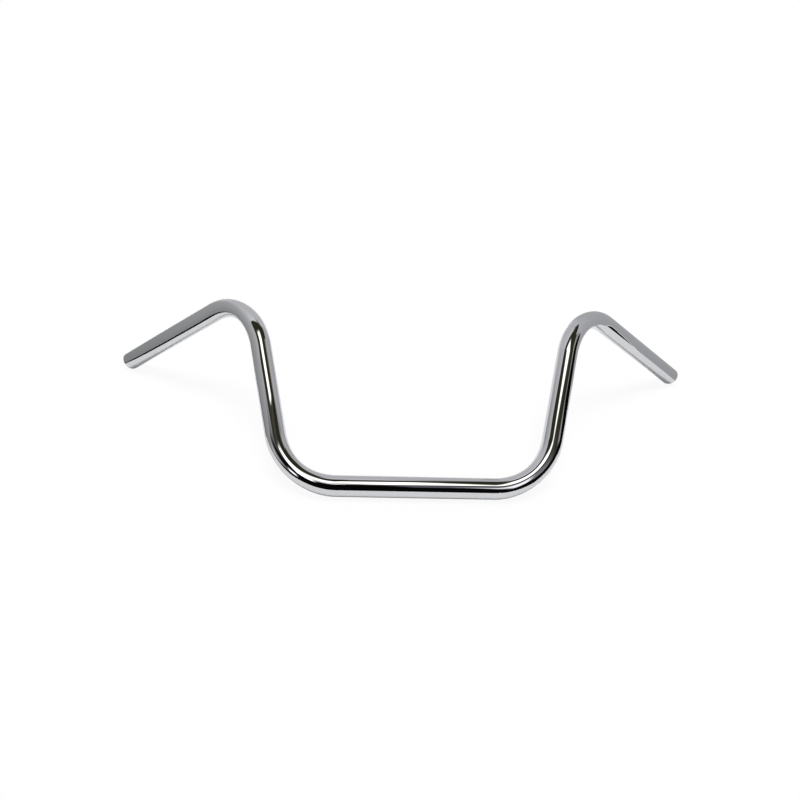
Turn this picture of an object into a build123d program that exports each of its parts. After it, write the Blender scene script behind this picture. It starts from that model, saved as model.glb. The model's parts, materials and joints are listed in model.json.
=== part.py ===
# Ape hanger handlebar: one steel tube with four bends, lying on its base and on its two grip ends.
# Millimetres. The origin is on the tube's axis in the middle of the base, where the stem clamps it.
# X runs along the base, Z is up, and the grips run outward and back, towards +Y.

import os
from math import cos, pi, radians, sin, sqrt, tan

from build123d import *

# Tube
tube_diameter = 22.2
tube_wall = 2.0
end_chamfer = 0.6

# Bending sheet: straight runs, the die's radius, bends in degrees, and the turn from one bend's plane to
# the next
bend_radius = 66.6
base_run = 162
lower_bend = 77.5
upright_run = 100
upper_bend = 89
sweep_back = 40
grip_run = 173

# The tube ovals as it is bent: mid-bend it is thinner in the bend's plane and wider across it
lower_flattening = 0.085
upper_flattening = 0.105
bulge_per_flattening = 0.5
lower_bend_spans = 12
upper_bend_spans = 6

tube_radius = tube_diameter / 2
lower_reach = bend_radius * tan(radians(lower_bend / 2))
upper_reach = bend_radius * tan(radians(upper_bend / 2))


def half_bar(lean):
    """Corners of the +X half's centre line, and its grip's direction, with the uprights leaning back."""
    along = Vector(1, 0, 0)
    rise = Vector(0, sin(radians(lean)), cos(radians(lean)))
    back = Vector(0, cos(radians(lean)), -sin(radians(lean)))
    upright = along * cos(radians(lower_bend)) + rise * sin(radians(lower_bend))
    outward = along * sin(radians(lower_bend)) - rise * cos(radians(lower_bend))
    bend_side = outward * cos(radians(sweep_back)) + back * sin(radians(sweep_back))
    grip = upright * cos(radians(upper_bend)) + bend_side * sin(radians(upper_bend))
    lower_corner = along * (base_run / 2 + lower_reach)
    upper_corner = lower_corner + upright * (lower_reach + upright_run + upper_reach)
    grip_end = upper_corner + grip * (upper_reach + grip_run)
    return [lower_corner, upper_corner, grip_end], grip


def lowest_of_grip_end(lean):
    """Height of the lowest point on the chamfered rim of a grip end."""
    corners, grip = half_bar(lean)
    grip_end = corners[-1]
    drop_per_radius = sqrt(1 - grip.Z**2)
    face_edge = grip_end.Z - (tube_radius - end_chamfer) * drop_per_radius
    outer_edge = grip_end.Z - end_chamfer * grip.Z - tube_radius * drop_per_radius
    return min(face_edge, outer_edge)


# The bar comes to rest where the grip ends touch the surface that the base lies on
upright_lean, too_far = 0, 90
for _ in range(50):
    middle = (upright_lean + too_far) / 2
    if lowest_of_grip_end(middle) > -tube_radius:
        upright_lean = middle
    else:
        too_far = middle

half_corners, grip_direction = half_bar(upright_lean)
mirrored_corners = [Vector(-corner.X, corner.Y, corner.Z) for corner in reversed(half_corners)]

with BuildLine() as centre_line:
    FilletPolyline(*mirrored_corners, *half_corners, radius=bend_radius)

straight_runs = centre_line.edges().filter_by(GeomType.LINE)
lower_bends, upper_bends = centre_line.edges().filter_by(GeomType.CIRCLE).group_by(Axis.Z, tol_digits=2)

bend_groups = [
    (lower_bends, lower_flattening, lower_bend_spans),
    (upper_bends, upper_flattening, upper_bend_spans),
]

# The tube's outside and then its bore: round along the straight runs, oval through the bends. A run's seam
# lines up with its nearest bend's, on the bend's neutral side.
with BuildPart() as handlebar:
    for inset, mode in ((0, Mode.ADD), (tube_wall, Mode.SUBTRACT)):
        for run in straight_runs:
            nearest_bend = (lower_bends + upper_bends).sort_by_distance(run @ 0.5)[0]
            with BuildSketch(Plane(origin=run @ 0, x_dir=nearest_bend.normal(), z_dir=run % 0)):
                Circle(tube_radius - inset)
            extrude(amount=run.length, mode=mode)
        for bends, flattening, spans in bend_groups:
            for bend in bends:
                for span in range(spans + 1):
                    along_bend = span / spans
                    squash = flattening * sin(pi * along_bend) ** 2
                    half_width = tube_radius * (1 + bulge_per_flattening * squash) - inset
                    half_depth = tube_radius * (1 - squash) - inset
                    station = Plane(origin=bend @ along_bend, x_dir=bend.normal(), z_dir=bend % along_bend)
                    with BuildSketch(station):
                        Ellipse(half_width, half_depth)
                sweep(path=bend, multisection=True, mode=mode)
    chamfer(handlebar.faces().filter_by(GeomType.PLANE).edges(), end_chamfer)

handlebar.part.label = "handlebar"

os.makedirs("parts", exist_ok=True)
export_step(handlebar.part, "parts/handlebar.step")

print(f"upright lean {upright_lean:.3f} degrees")
print("corners of one half", [tuple(round(value, 3) for value in corner) for corner in half_corners])
print("grip direction", tuple(round(value, 5) for value in grip_direction))
print(f"volume {handlebar.part.volume:.0f} mm3")
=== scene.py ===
# %% [markdown]
# # A chromed ape hanger handlebar
# The real bar is one length of steel tube. A tube bender makes it from a short sheet of numbers: how far to
# push the tube, how far to bend it, and how far to turn it before the next bend. Then it is polished and
# chrome plated. This lesson rebuilds it in the same order: the tube's line, the tube, the finish, and a small
# studio, because a mirror like chrome looks like whatever stands round it.

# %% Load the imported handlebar
import json
from math import atan2, cos, degrees, pi, radians, sin

import bpy
from mathutils import Matrix, Vector

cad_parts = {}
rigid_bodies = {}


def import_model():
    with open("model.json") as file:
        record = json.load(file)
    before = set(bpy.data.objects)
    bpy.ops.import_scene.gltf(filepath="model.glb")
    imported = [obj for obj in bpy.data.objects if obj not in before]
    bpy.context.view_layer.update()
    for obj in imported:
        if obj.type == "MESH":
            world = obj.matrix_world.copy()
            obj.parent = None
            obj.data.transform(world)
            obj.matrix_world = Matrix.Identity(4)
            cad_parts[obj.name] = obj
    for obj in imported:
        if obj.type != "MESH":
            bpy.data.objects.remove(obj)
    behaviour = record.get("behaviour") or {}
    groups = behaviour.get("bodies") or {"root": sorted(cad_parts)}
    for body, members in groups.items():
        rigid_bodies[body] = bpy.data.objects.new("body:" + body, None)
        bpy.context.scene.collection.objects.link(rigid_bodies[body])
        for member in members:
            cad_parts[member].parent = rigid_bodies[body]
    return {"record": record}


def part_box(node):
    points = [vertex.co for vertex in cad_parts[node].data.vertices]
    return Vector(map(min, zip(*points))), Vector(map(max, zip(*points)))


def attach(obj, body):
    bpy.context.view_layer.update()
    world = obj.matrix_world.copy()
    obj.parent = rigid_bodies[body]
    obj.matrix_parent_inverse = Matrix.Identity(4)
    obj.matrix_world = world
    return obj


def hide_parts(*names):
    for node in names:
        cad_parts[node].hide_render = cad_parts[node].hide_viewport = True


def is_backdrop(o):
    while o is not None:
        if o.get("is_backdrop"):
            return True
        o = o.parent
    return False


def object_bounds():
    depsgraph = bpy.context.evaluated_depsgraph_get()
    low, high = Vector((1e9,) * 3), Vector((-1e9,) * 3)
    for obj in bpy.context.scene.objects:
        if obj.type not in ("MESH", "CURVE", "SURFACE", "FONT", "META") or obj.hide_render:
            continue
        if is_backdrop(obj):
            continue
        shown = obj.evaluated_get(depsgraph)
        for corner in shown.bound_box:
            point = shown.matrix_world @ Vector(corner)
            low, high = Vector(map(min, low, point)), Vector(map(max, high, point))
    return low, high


for leftover in list(bpy.data.objects):
    bpy.data.objects.remove(leftover)
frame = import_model()
cad_low, cad_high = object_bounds()
scene = bpy.context.scene
seats = {mount["name"]: mount for mount in frame["record"]["mounts"]}
print("CAD box", [round(v, 4) for v in cad_low], [round(v, 4) for v in cad_high])

# %% [markdown]
# ## The bending sheet
# The middle line of the tube could be drawn as a curve, but a shop doesn't draw it. It starts in the middle of
# the base and walks outward: straight, bend, straight, turn, bend, straight. Walking keeps a small set of axes
# on the tube: `ahead` along it, and `inside` towards the centre of the next bend. One walk gives half of the
# bar, and its mirror image gives the other half.

# %% Sizes of the tube and of its bends, in metres and degrees
tube_radius = seats["stem_clamp"]["dims"]["r_mm"] / 1000
tube_wall = tube_radius - seats["left_bar_end"]["dims"]["r_mm"] / 1000
base_run = seats["stem_clamp"]["dims"]["length_mm"] / 1000
grip_run = 0.173
upright_run = 0.100
die_radius = 0.0666
lower_bend = 77.5
upper_bend = 89.0
turn_between_bends = 40.0
lower_flattening = 0.085
upper_flattening = 0.105
bulge_per_flattening = 0.5
print(f"tube {2000 * tube_radius:.1f} mm across, wall {1000 * tube_wall:.1f} mm, base {1000 * base_run:.0f} mm")

# %% Walk along the sheet
straight_step = 0.006
bend_step = 1.9


def walk_half(lean):
    """Rings of the +X half, each a place, ahead, inside, roll so far, squash and length walked."""
    place, ahead = Vector((0, 0, 0)), Vector((1, 0, 0))
    inside = Vector((0, sin(lean), cos(lean)))
    rings, roll, walked = [], 0.0, 0.0

    def straight(length):
        nonlocal place, walked
        steps = max(1, round(length / straight_step))
        for _ in range(steps):
            rings.append((place.copy(), ahead.copy(), inside.copy(), roll, 0.0, walked))
            place = place + ahead * (length / steps)
            walked += length / steps

    def bend(angle, flattening):
        nonlocal place, ahead, inside, walked
        centre = place + inside * die_radius
        axis = ahead.cross(inside)
        steps = round(angle / bend_step)
        for step in range(steps):
            turn = Matrix.Rotation(radians(angle * step / steps), 3, axis)
            squash = flattening * sin(pi * step / steps) ** 2
            on_line = centre - turn @ inside * die_radius
            rings.append((on_line, turn @ ahead, turn @ inside, roll, squash, walked))
            walked += radians(angle) * die_radius / steps
        whole = Matrix.Rotation(radians(angle), 3, axis)
        place, ahead, inside = centre - whole @ inside * die_radius, whole @ ahead, whole @ inside

    straight(base_run / 2)
    bend(lower_bend, lower_flattening)
    straight(upright_run)
    roll = radians(180 + turn_between_bends)
    inside = Matrix.Rotation(roll, 3, ahead) @ inside
    bend(upper_bend, upper_flattening)
    straight(grip_run)
    rings.append((place.copy(), ahead.copy(), inside.copy(), roll, 0.0, walked))
    return rings


print("a step of", 1000 * straight_step, "mm on the runs and of", bend_step, "degrees in the bends")

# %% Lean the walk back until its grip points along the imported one
_, grip_upright, *_ = walk_half(0.0)[-1]
grip_seat = Vector(seats["left_grip_seat"]["axis"])
lean = atan2(grip_upright.z, grip_upright.y) - atan2(grip_seat.z, grip_seat.y)
half = walk_half(lean)
grip_end, grip_ahead, _, _, _, half_length = half[-1]
print(f"the bar lies with its uprights {degrees(lean):.2f} degrees back, in {len(half)} rings a side")
print("grip end", [round(v, 5) for v in grip_end], "grip direction", [round(v, 5) for v in grip_ahead])

# %% [markdown]
# ## The tube
# The real tube is round along the straight runs, and each bend squeezes it a little oval. A curve with a round
# bevel would give the runs, but not the ovals, the wall or the open ends. So each ring of the walk gets a
# circle of points outside and another inside for the bore, and neighbouring rings are joined by four-sided
# faces. The rims are a few more rings, close together. The left half is the same rings mirrored, so no seam
# shows.

# %% Rings from the left end to the right end
points_round = 96
angles = [2 * pi * point / points_round for point in range(points_round)]


def mirrored(ring):
    """The same ring on the -X side, still facing towards +X."""
    place, ahead, inside, roll, squash, walked = ring
    return (
        Vector((-place.x, place.y, place.z)),
        Vector((ahead.x, -ahead.y, -ahead.z)),
        Vector((-inside.x, inside.y, inside.z)),
        roll,
        squash,
        -walked,
    )


def circle(ring, inset, shift):
    """Points of one ring, set in from the tube's outside and shifted along it."""
    place, ahead, inside, roll, squash, _ = ring
    across = ahead.cross(inside)
    depth = tube_radius * (1 - squash) - inset
    width = tube_radius * (1 + bulge_per_flattening * squash) - inset
    middle = place + ahead * shift
    return [middle + inside * (depth * cos(a - roll)) + across * (width * sin(a - roll)) for a in angles]


rings = [mirrored(ring) for ring in reversed(half[1:])] + half
print(len(rings), "rings end to end, tube length", round(2 * half_length, 4), "m")

# %% The rim: a chamfer with its two corners broken, as (in from the outside, back from the end)
millimetre = 0.001
outer_rim = [(0, 1.5), (0, 0.9), (0.02, 0.74), (0.12, 0.54), (0.54, 0.12), (0.74, 0.02), (0.9, 0)]
outer_rim = [(inset * millimetre, back * millimetre) for inset, back in outer_rim]
inner_rim = [(tube_wall - inset, back) for inset, back in reversed(outer_rim)]
rim = outer_rim + inner_rim
print(len(rim), "rings on each rim")

# %% Rows of the mesh: out along the tube, round one rim, back through the bore, round the other rim
outside_rows = [(ring, 0.0, 0.0) for ring in rings[1:-1]]
right_rim_rows = [(rings[-1], inset, -back) for inset, back in rim]
bore_rows = [(ring, tube_wall, 0.0) for ring in reversed(rings[1:-1])]
left_rim_rows = [(rings[0], inset, back) for inset, back in reversed(rim)]
rows = outside_rows + right_rim_rows + bore_rows + left_rim_rows
first_bore_row = len(outside_rows) + len(right_rim_rows) - 1
last_bore_row = first_bore_row + len(bore_rows)

points, length_along = [], []
for ring, inset, shift in rows:
    points += circle(ring, inset, shift)
    walked = ring[-1]
    length_along += [walked + shift] * points_round

faces, in_bore = [], []
for row in range(len(rows)):
    following = (row + 1) % len(rows)
    for point in range(points_round):
        beside = (point + 1) % points_round
        faces.append([pair[0] * points_round + pair[1] for pair in
                      ((row, point), (row, beside), (following, beside), (following, point))])
        in_bore.append(first_bore_row <= row <= last_bore_row)
print(len(points), "points,", len(faces), "faces")

# %% Make the piece and let it stand for the CAD node
bar_mesh = bpy.data.meshes.new("chromed_bar")
bar_mesh.from_pydata(points, [], faces)
bar_mesh.polygons.foreach_set("use_smooth", [True] * len(faces))
bar_mesh.polygons.foreach_set("material_index", [int(inner) for inner in in_bore])
from_end = bar_mesh.attributes.new("from_end", "FLOAT", "POINT")
from_end.data.foreach_set("value", [half_length - abs(along) for along in length_along])
bar = bpy.data.objects.new("chromed_bar", bar_mesh)
scene.collection.objects.link(bar)
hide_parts("handlebar")
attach(bar, "root")
node_low, node_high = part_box("handlebar")
mesh_low = [min(point[axis] for point in points) for axis in range(3)]
mesh_high = [max(point[axis] for point in points) for axis in range(3)]
print("off the CAD box by, in mm:",
      [round(1000 * (a - b), 3) for a, b in zip(mesh_low, node_low)],
      [round(1000 * (a - b), 3) for a, b in zip(mesh_high, node_high)])

# %% A layout along and round the tube, for the finish
layout = bar_mesh.uv_layers.new(name="along_and_round")
girth = 2 * pi * tube_radius
for polygon in bar_mesh.polygons:
    for corner, loop in enumerate(polygon.loop_indices):
        point = bar_mesh.loops[loop].vertex_index
        turn = point % points_round
        if turn == 0 and corner in (1, 2):  # a ring's last face closes on its first points
            turn = points_round
        layout.data[loop].uv = (length_along[point] / girth, turn / points_round)
print("layout:", round(2 * half_length / girth, 2), "girths long, 1 girth round")

# %% [markdown]
# ## The chrome
# Chrome plating is a metal mirror, a little darker than silver and faintly blue. A plain mirror looks drawn, so
# three small things are added, each at its real scale: polishing leaves the steel very slightly wavy, its last
# strokes leave fine lines along the tube, and handling leaves a soft haze. They only change roughness and
# slope, because what the eye reads as the colour of chrome is the studio that it mirrors.

# %% Helpers for the finishes
noise_range = (0.3, 0.7)  # most of a noise lies between these


def new_finish(name):
    """A material with one Principled shader."""
    finish = bpy.data.materials.new(name)
    finish.use_nodes = True
    return finish, finish.node_tree.nodes, finish.node_tree.links, finish.node_tree.nodes["Principled BSDF"]


def noise(nodes, links, space, scale, detail=2.0, roughness=0.5):
    """A noise texture in the given space."""
    texture = nodes.new("ShaderNodeTexNoise")
    texture.inputs["Scale"].default_value = scale
    texture.inputs["Detail"].default_value = detail
    texture.inputs["Roughness"].default_value = roughness
    links.new(space, texture.inputs["Vector"])
    return texture.outputs["Fac"]


def remap(nodes, links, value, from_low, from_high, to_low, to_high):
    """Stretch a value from one range to another."""
    node = nodes.new("ShaderNodeMapRange")
    node.inputs["From Min"].default_value, node.inputs["From Max"].default_value = from_low, from_high
    node.inputs["To Min"].default_value, node.inputs["To Max"].default_value = to_low, to_high
    links.new(value, node.inputs["Value"])
    return node.outputs["Result"]


def add(nodes, links, first, second):
    """Sum of two values."""
    node = nodes.new("ShaderNodeMath")
    node.operation = "ADD"
    links.new(first, node.inputs[0])
    links.new(second, node.inputs[1])
    return node.outputs["Value"]


def stretched(nodes, links, space, scale):
    """The same space, scaled along each axis."""
    node = nodes.new("ShaderNodeMapping")
    node.inputs["Scale"].default_value = scale
    links.new(space, node.inputs["Vector"])
    return node.outputs["Vector"]


def bumped(nodes, links, height, distance):
    """Slope from a height, in metres."""
    node = nodes.new("ShaderNodeBump")
    node.inputs["Strength"].default_value = 1.0
    node.inputs["Distance"].default_value = distance
    links.new(height, node.inputs["Height"])
    return node.outputs["Normal"]


def two_tones(nodes, links, value, low_tone, high_tone):
    """From one colour to another as a noise rises."""
    ramp = nodes.new("ShaderNodeValToRGB")
    low, high = ramp.color_ramp.elements
    low.position, high.position = noise_range
    low.color, high.color = (*low_tone, 1), (*high_tone, 1)
    links.new(value, ramp.inputs["Fac"])
    return ramp.outputs["Color"]


print("a finish takes a noise from", *noise_range)

# %% Chrome, on the outside and the rims: noise sizes per metre, roughness from and to, height in metres
tint_noise, dark_tint, pale_tint = 18, (0.610, 0.614, 0.634), (0.632, 0.638, 0.656)
haze_noise, haze_range, haze_roughness = 35, (0.35, 0.75), (0.012, 0.034)
stroke_stretch, stroke_range, stroke_roughness = (3, 260, 1), (0.4, 0.7), (0.0, 0.014)
wave_noise, wave_height = 55, 0.000012

chrome, nodes, links, shader = new_finish("chrome_plate")
shader.inputs["Metallic"].default_value = 1.0
places = nodes.new("ShaderNodeTexCoord")
in_metres, on_layout = places.outputs["Object"], places.outputs["UV"]

tint = two_tones(nodes, links, noise(nodes, links, in_metres, tint_noise), dark_tint, pale_tint)
links.new(tint, shader.inputs["Base Color"])

haze = noise(nodes, links, in_metres, haze_noise, 4, 0.6)
haze = remap(nodes, links, haze, *haze_range, *haze_roughness)
strokes = noise(nodes, links, stretched(nodes, links, on_layout, stroke_stretch), 1, 1)
strokes = remap(nodes, links, strokes, *stroke_range, *stroke_roughness)
links.new(add(nodes, links, haze, strokes), shader.inputs["Roughness"])

waviness = bumped(nodes, links, noise(nodes, links, in_metres, wave_noise, 1), wave_height)
links.new(waviness, shader.inputs["Normal"])
bar_mesh.materials.append(chrome)
print("chrome:", len(nodes), "nodes")

# %% [markdown]
# ## The bore
# The plating reaches only a little way into the open ends. Further in there is bare drawn steel, dull and brown
# grey, with draw lines along it. One material does both: it mixes by the distance from the end, which the mesh
# carries as an attribute.

# %% Steel inside, with plating at its mouth: lengths and heights in metres, roughness from and to
plating_fades, ragged_edge, ragged_noise = (0.004, 0.022), 0.004, 120
plated, dark_steel, pale_steel = (0.60, 0.605, 0.62, 1), (0.27, 0.245, 0.22), (0.42, 0.40, 0.375)
draw_stretch, draw_roughness, draw_height = (1.5, 70, 1), (0.0, 0.14), 0.00008
plated_to_steel_roughness = (0.10, 0.34)

steel, nodes, links, shader = new_finish("bore_steel")
shader.inputs["Metallic"].default_value = 1.0
places = nodes.new("ShaderNodeTexCoord")
in_metres, on_layout = places.outputs["Object"], places.outputs["UV"]
from_the_end = nodes.new("ShaderNodeAttribute")
from_the_end.attribute_name = "from_end"
ragged = noise(nodes, links, in_metres, ragged_noise, 3)
ragged = remap(nodes, links, ragged, *noise_range, -ragged_edge, ragged_edge)
ragged = add(nodes, links, from_the_end.outputs["Fac"], ragged)
plating_gone = remap(nodes, links, ragged, *plating_fades, 0.0, 1.0)
drawn = noise(nodes, links, stretched(nodes, links, on_layout, draw_stretch), 1, 3)

colour = nodes.new("ShaderNodeMix")
colour.data_type = "RGBA"
links.new(plating_gone, colour.inputs["Factor"])
colour.inputs["A"].default_value = plated
links.new(two_tones(nodes, links, drawn, dark_steel, pale_steel), colour.inputs["B"])
links.new(colour.outputs["Result"], shader.inputs["Base Color"])

roughness = remap(nodes, links, plating_gone, 0, 1, *plated_to_steel_roughness)
roughness = add(nodes, links, roughness, remap(nodes, links, drawn, *noise_range, *draw_roughness))
links.new(roughness, shader.inputs["Roughness"])
links.new(bumped(nodes, links, drawn, draw_height), shader.inputs["Normal"])
bar_mesh.materials.append(steel)
print("bore:", len(nodes), "nodes")

# %% [markdown]
# ## The floor and the light
# The bar lies on a white sweep, under light from all round and one big soft lamp overhead. A sweep that is
# only matt never quite reaches white, so part of it is plain white for each kind of ray. The rest takes light,
# and so it keeps the bar's shadow: faint for the camera, as on an overlit sweep, and stronger in the chrome,
# where the shadow straight below draws a fine dark line along the tube's lower side.

# %% White floor
floor_level = cad_low.z
floor_reach = 20.0
floor_corners = [(x * floor_reach, y * floor_reach, floor_level)
                 for x, y in ((-1, -1), (1, -1), (1, 1), (-1, 1))]
floor_mesh = bpy.data.meshes.new("floor")
floor_mesh.from_pydata(floor_corners, [], [(0, 1, 2, 3)])
floor = bpy.data.objects.new("floor", floor_mesh)
scene.collection.objects.link(floor)
floor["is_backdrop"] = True
print("floor at", round(1000 * floor_level, 2), "mm, the lowest point of the bar")

# %% Its surface: partly plain white, by the kind of ray, and partly matt
plain_white = {"Is Camera Ray": 0.92, "Is Glossy Ray": 0.1, "Is Transmission Ray": 0.92}


def seen_by(nodes, links, shares):
    """How much of a surface is plain light for each kind of ray, from 0 to 1."""
    rays = nodes.new("ShaderNodeLightPath")
    total = None
    for ray, share in shares.items():
        part = remap(nodes, links, rays.outputs[ray], 0, 1, 0, share)
        total = part if total is None else add(nodes, links, total, part)
    return total


white = bpy.data.materials.new("white_sweep")
white.use_nodes = True
nodes, links = white.node_tree.nodes, white.node_tree.links
nodes.clear()
matt = nodes.new("ShaderNodeBsdfDiffuse")
matt.inputs["Color"].default_value = (0.99, 0.99, 0.99, 1)
lit = nodes.new("ShaderNodeEmission")
lit.inputs["Color"].default_value = (1.0, 1.0, 1.0, 1)
both = nodes.new("ShaderNodeMixShader")
links.new(seen_by(nodes, links, plain_white), both.inputs["Fac"])
links.new(matt.outputs["BSDF"], both.inputs[1])
links.new(lit.outputs["Emission"], both.inputs[2])
surface = nodes.new("ShaderNodeOutputMaterial")
links.new(both.outputs["Shader"], surface.inputs["Surface"])
floor_mesh.materials.append(white)
print("sweep:", len(nodes), "nodes")

# %% Light from all round, and the lamp overhead; together they light white to white
share_of_lamp = 0.6
lamp_width = 24
world = bpy.data.worlds.new("soft_light")
scene.world = world
world.use_nodes = True
nodes, links = world.node_tree.nodes, world.node_tree.links
nodes["Background"].inputs["Color"].default_value = (1, 1, 1, 1)
seen = seen_by(nodes, links, {"Is Camera Ray": 1, "Is Glossy Ray": 1, "Is Transmission Ray": 1})
links.new(remap(nodes, links, seen, 0, 1, 1.0 - share_of_lamp, 1.0), nodes["Background"].inputs["Strength"])
lamp_data = bpy.data.lights.new("overhead_lamp", "SUN")
lamp_data.energy = share_of_lamp * pi
lamp_data.angle = radians(lamp_width)
lamp = bpy.data.objects.new("overhead_lamp", lamp_data)
lamp.location = (0, 0, 1)
lamp.visible_glossy = False
scene.collection.objects.link(lamp)
lamp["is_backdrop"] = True
print(f"light: {100 * (1 - share_of_lamp):.0f}% from all round, {100 * share_of_lamp:.0f}% from overhead")

# %% [markdown]
# ## What the chrome sees
# A mirror shows the room, so the room has to be there. It is a light tent: a white cloth dome with a bright
# window over the bar, a dark frame round that window, and a dark opening in front where the camera stands. It
# could be lamps and boards, one by one, but a dome painted from a short list of panels is easier to follow.
# Only mirror rays see it, so it neither lights the floor nor hides the bar.

# %% The tent's cloth, and its panels in degrees as seen from the middle of the floor
left_cloth, right_cloth = Vector((0.68, 0.675, 0.70)), Vector((1.15, 1.145, 1.16))
back_cloth = Vector((0.667, 0.662, 0.677))
panels = [
    # azimuth (0 in front, + to the right), elevation, half width, half height, tilt, softness, colour
    ("front opening", 26.7, 27.1, 77.5, 40.7, -1.6, 26, (0.003, 0.003, 0.003)),
    ("front, higher up", 15.9, 50, 7.9, 8.2, 1.6, 1, (0.152, 0.144, 0.176)),
    ("grey on the right", 56.1, 42.4, 22.6, 20.7, 20.8, 1, (0.27, 0.26, 0.284)),
    ("dark on the right", 92.1, 52.1, 31.8, 28.7, -3.9, 12.5, (0.040, 0.039, 0.027)),
    ("dark frame", 101.7, 85.8, 19.5, 40.8, 16, 1, (0.036, 0.036, 0.021)),
    ("window above", 10.6, 78.3, 9.5, 11.7, 19.3, 8, (2.5, 2.47, 2.3)),
    ("light, front left", -17.6, 51.7, 4.1, 11.4, -5.7, 1.7, (2.5, 2.47, 2.4)),
    ("light, front right", 26.8, 36.1, 5.2, 12.5, 12.4, 5, (1.5, 1.47, 1.5)),
    ("light, low left", -38.7, 12.2, 3.7, 7.4, -16, 4, (1.9, 1.85, 1.9)),
    ("far right", 87.4, 37.6, 8.5, 18.9, -53.7, 1, (0.415, 0.394, 0.363)),
]
print(len(panels), "panels")

# %% What colour the tent has in a direction
left_to_right, front_to_back, middle_to_side = (-0.75, 0.1), (-0.2, 0.8), (0.3, 0.9)
tiny = 1e-9


def ease(value, low, high):
    """From 0 at low to 1 at high, smoothly."""
    share = min(max((value - low) / (high - low), 0.0), 1.0)
    return share * share * (3 - 2 * share)


def direction(azimuth, elevation):
    """Unit vector, azimuth 0 towards -Y and 90 towards +X."""
    a, e = radians(azimuth), radians(elevation)
    return Vector((sin(a) * cos(e), -cos(a) * cos(e), sin(e)))


def cover(towards, panel):
    """How much of a direction a panel covers, from 0 to 1."""
    _, azimuth, elevation, half_width, half_height, tilt, softness, _ = panel
    centre = direction(azimuth, elevation)
    level = Vector((cos(radians(azimuth)), sin(radians(azimuth)), 0))
    upward = centre.cross(level)
    upward = upward if upward.z > 0 else -upward
    t = radians(tilt)
    sideways, up = cos(t) * level + sin(t) * upward, cos(t) * upward - sin(t) * level
    away = degrees(centre.angle(towards, 0.0))
    x, y = towards.dot(sideways), towards.dot(up)
    length = (x * x + y * y) ** 0.5 + tiny
    outside = max(abs(away * x / length) - half_width, abs(away * y / length) - half_height)
    return 1 - ease(outside, -softness / 2, softness / 2)


def tent_colour(towards):
    """Colour of the tent in a direction: the cloth, then each panel over it."""
    colour = left_cloth.lerp(right_cloth, ease(towards.x, *left_to_right))
    at_back = ease(towards.y, *front_to_back) * (1 - ease(abs(towards.x), *middle_to_side))
    colour = colour.lerp(back_cloth, at_back)
    for panel in panels:
        colour = colour.lerp(Vector(panel[-1]), cover(towards, panel))
    return colour


print("straight up, the tent is", [round(channel, 3) for channel in tent_colour(direction(0, 90))])

# %% The tent's mesh, painted at its points
tent_middle = Vector((0, 0.08, floor_level))
tent_radius = 2.2
tent_rows, tent_columns = 90, 240
tent_points, tent_faces, tent_paint = [], [], []
for row in range(tent_rows + 1):
    elevation = 90 * row / tent_rows
    for column in range(tent_columns):
        towards = direction(360 * column / tent_columns, elevation)
        tent_points.append(tent_middle + towards * tent_radius)
        tent_paint.append((*tent_colour(towards), 1.0))
for row in range(tent_rows):
    for column in range(tent_columns):
        beside = (column + 1) % tent_columns
        tent_faces.append([r * tent_columns + c for r, c in
                           ((row, column), (row, beside), (row + 1, beside), (row + 1, column))])
print("tent:", len(tent_points), "points,", len(tent_faces), "faces")

# %% Studio paint gives off its colour, and is clear where the paint fades out
studio_paint = bpy.data.materials.new("studio_paint")
studio_paint.use_nodes = True
nodes, links = studio_paint.node_tree.nodes, studio_paint.node_tree.links
nodes.clear()
paint = nodes.new("ShaderNodeVertexColor")
paint.layer_name = "paint"
glow = nodes.new("ShaderNodeEmission")
clear = nodes.new("ShaderNodeBsdfTransparent")
fade = nodes.new("ShaderNodeMixShader")
surface = nodes.new("ShaderNodeOutputMaterial")
links.new(paint.outputs["Color"], glow.inputs["Color"])
links.new(paint.outputs["Alpha"], fade.inputs["Fac"])
links.new(clear.outputs["BSDF"], fade.inputs[1])
links.new(glow.outputs["Emission"], fade.inputs[2])
links.new(fade.outputs["Shader"], surface.inputs["Surface"])
print("studio paint:", len(nodes), "nodes")

# %% Put up the tent


def only_in_mirrors(stage_piece):
    """Mark a stage piece, and let only mirror rays see it."""
    stage_piece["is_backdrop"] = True
    stage_piece.visible_camera = False
    stage_piece.visible_diffuse = False
    stage_piece.visible_transmission = False
    stage_piece.visible_volume_scatter = False
    stage_piece.visible_shadow = False


def studio_piece(name, piece_points, piece_faces, piece_paint):
    """A painted piece of the studio."""
    mesh = bpy.data.meshes.new(name)
    mesh.from_pydata(piece_points, [], piece_faces)
    colours = mesh.attributes.new("paint", "FLOAT_COLOR", "POINT")
    colours.data.foreach_set("color", [channel for colour in piece_paint for channel in colour])
    mesh.materials.append(studio_paint)
    piece = bpy.data.objects.new(name, mesh)
    scene.collection.objects.link(piece)
    only_in_mirrors(piece)
    print("put up", name)


studio_piece("tent", tent_points, tent_faces, tent_paint)

# %% [markdown]
# ## Boards, a strip and a card
# The tent is far off, so every part of the bar sees it in the same places. What one part mirrors and the next
# doesn't has to stand close by: black boards in front, where the base turns black below its window, walls on
# both sides, a dark strip on the floor along the left wall, and a dark card over the left bend. They could be
# solid boards, but single painted faces do, because nothing but a mirror ray ever meets them.

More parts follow.
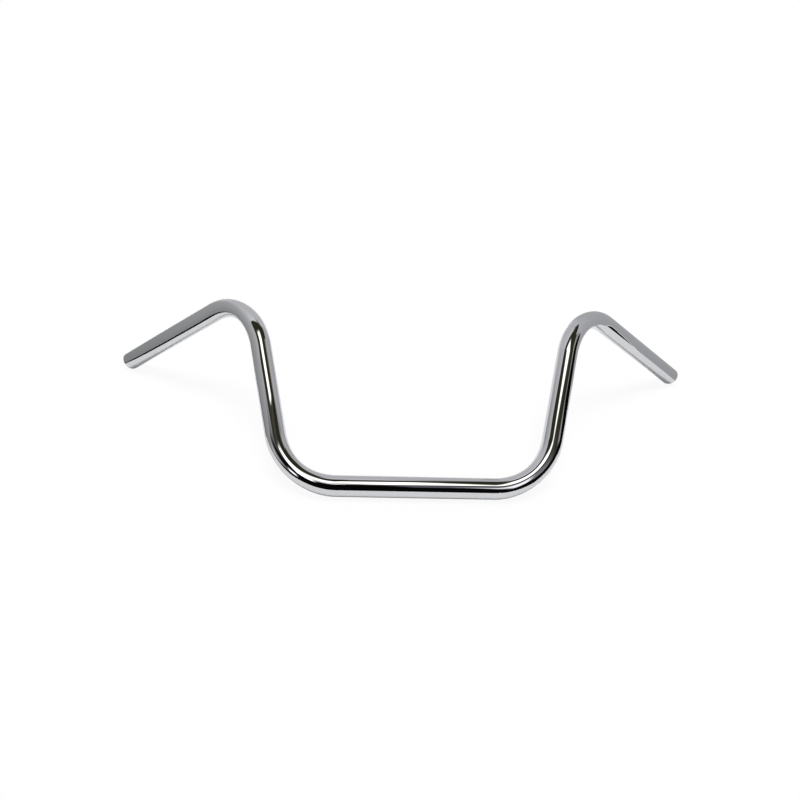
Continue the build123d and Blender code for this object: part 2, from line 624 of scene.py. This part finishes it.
# %% Boards that stand on the floor: two corners, height, colour at the foot and at the top
black = (0.003, 0.003, 0.003)
left_height, left_foot, left_top = 0.50, (0.322, 0.327, 0.325), (0.678, 0.683, 0.682)
right_foot, right_top = (0.461, 0.466, 0.472), (0.638, 0.638, 0.651)
boards = [
    ("front_board_left", (-0.5, -0.05), (-0.18, -0.038), 0.029, black, black),
    ("front_board_left_turn", (-0.18, -0.038), (-0.13, -0.2), 0.029, black, black),
    ("front_board", (-0.148, -0.2), (0.138, -0.206), 0.153, black, black),
    ("front_board_right_turn", (0.141, -0.2), (0.172, -0.034), 0.05, black, black),
    ("front_board_right", (0.172, -0.038), (0.5, -0.048), 0.04, black, black),
    ("left_board_front", (-0.3456, -0.053), (-0.408, 0.09), left_height, left_foot, left_top),
    ("left_board", (-0.408, 0.09), (-0.402, 0.215), left_height, left_foot, left_top),
    ("left_board_back", (-0.402, 0.215), (-0.4615, 0.51), left_height, left_foot, left_top),
    ("right_board_back", (0.412, 0.145), (0.192, 0.626), 0.529, right_foot, right_top),
    ("right_board_front", (0.483, -0.036), (0.432, 0.133), 0.30, black, black),
]
for name, (x0, y0), (x1, y1), height, foot, top in boards:
    low, high = floor_level, floor_level + height
    studio_piece(name, [(x0, y0, low), (x1, y1, low), (x1, y1, high), (x0, y0, high)], [(0, 1, 2, 3)],
                 [(*foot, 1.0), (*foot, 1.0), (*top, 1.0), (*top, 1.0)])

# %% A dark strip painted on the floor beside the left grip, which only mirror rays see
strip_lift = 0.0002
strip_colour = (0.006, 0.006, 0.006, 1.0)
strip_corners = ((-0.302, 0.07), (-0.396, 0.228), (-0.405, 0.228), (-0.400, 0.07))
studio_piece("left_strip", [(x, y, floor_level + strip_lift) for x, y in strip_corners],
             [(0, 1, 2, 3)], [strip_colour] * len(strip_corners))

# %% A dark card with faded edges that hangs over the left bend: x, front edge, back edge, fade at the front
card_level = 0.15
card_right, card_middle = Vector((0.022, 0.022, 0.015)), Vector((0.08, 0.08, 0.058))
card_left = Vector((0.046, 0.046, 0.034))
right_to_middle, middle_to_left = (0.09, 0.13), (0.14, 0.175)
back_fade = 0.005
card_edges = [(-0.070, 0.022, 0.062, 0.006), (-0.078, 0.014, 0.061, 0.008), (-0.085, -0.004, 0.061, 0.010),
              (-0.090, -0.018, 0.060, 0.012), (-0.096, -0.023, 0.058, 0.011), (-0.104, -0.022, 0.052, 0.009),
              (-0.112, -0.019, 0.044, 0.006), (-0.121, -0.020, 0.035, 0.004), (-0.131, -0.024, 0.026, 0.003),
              (-0.150, -0.035, 0.018, 0.003), (-0.170, -0.046, 0.020, 0.003), (-0.196, -0.060, 0.023, 0.003),
              (-0.208, -0.067, 0.025, 0.003)]
points_across = 4
card_points, card_paint, card_faces = [], [], []
for number, (x, front, back, front_fade) in enumerate(card_edges):
    at_end = number in (0, len(card_edges) - 1)
    shade = card_right.lerp(card_middle, ease(-x, *right_to_middle)).lerp(card_left, ease(-x, *middle_to_left))
    for y, in_full in ((front - front_fade, False), (front + front_fade, True),
                       (back - back_fade, True), (back + back_fade, False)):
        card_points.append((x, y, card_level))
        card_paint.append((*shade, 1.0 if in_full and not at_end else 0.0))
for number in range(len(card_edges) - 1):
    for across in range(points_across - 1):
        here, after = points_across * number + across, points_across * (number + 1) + across
        card_faces.append((here, here + 1, after + 1, after))
studio_piece("left_card", card_points, card_faces, card_paint)

# %% [markdown]
# ## The camera
# The photograph is a wide shot from close by and from above, rolled a few degrees. Its place and lens follow
# from the perspective of the tube: the near base looks thicker than the far grips.

# %% Camera
camera_place = Vector((-0.05266, -0.48143, 0.44076))
azimuth, elevation, roll = radians(-3.714), radians(34.536), radians(-3.614)
view_ahead = Vector((-sin(azimuth) * cos(elevation), cos(azimuth) * cos(elevation), -sin(elevation)))
level_right = Vector((cos(azimuth), sin(azimuth), 0))
level_down = view_ahead.cross(level_right)
right = cos(roll) * level_right + sin(roll) * level_down
down = cos(roll) * level_down - sin(roll) * level_right
turned = Matrix((right, -down, -view_ahead)).transposed()
camera_data = bpy.data.cameras.new("camera")
camera_data.sensor_fit, camera_data.sensor_width = "HORIZONTAL", 36.0
camera_data.lens = 28.359
camera_data.clip_start, camera_data.clip_end = 0.01, 100
camera = bpy.data.objects.new("camera", camera_data)
camera.matrix_world = Matrix.Translation(camera_place) @ turned.to_4x4()
scene.collection.objects.link(camera)
scene.camera = camera
scene.view_settings.view_transform = "Standard"
bar_middle = (cad_low + cad_high) / 2
print("camera", round((camera_place - bar_middle).length, 3), "m from the middle of the bar")

# %% The box round all that is drawn, at the end
low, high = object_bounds()
print("visual box", [round(v, 4) for v in low], [round(v, 4) for v in high])
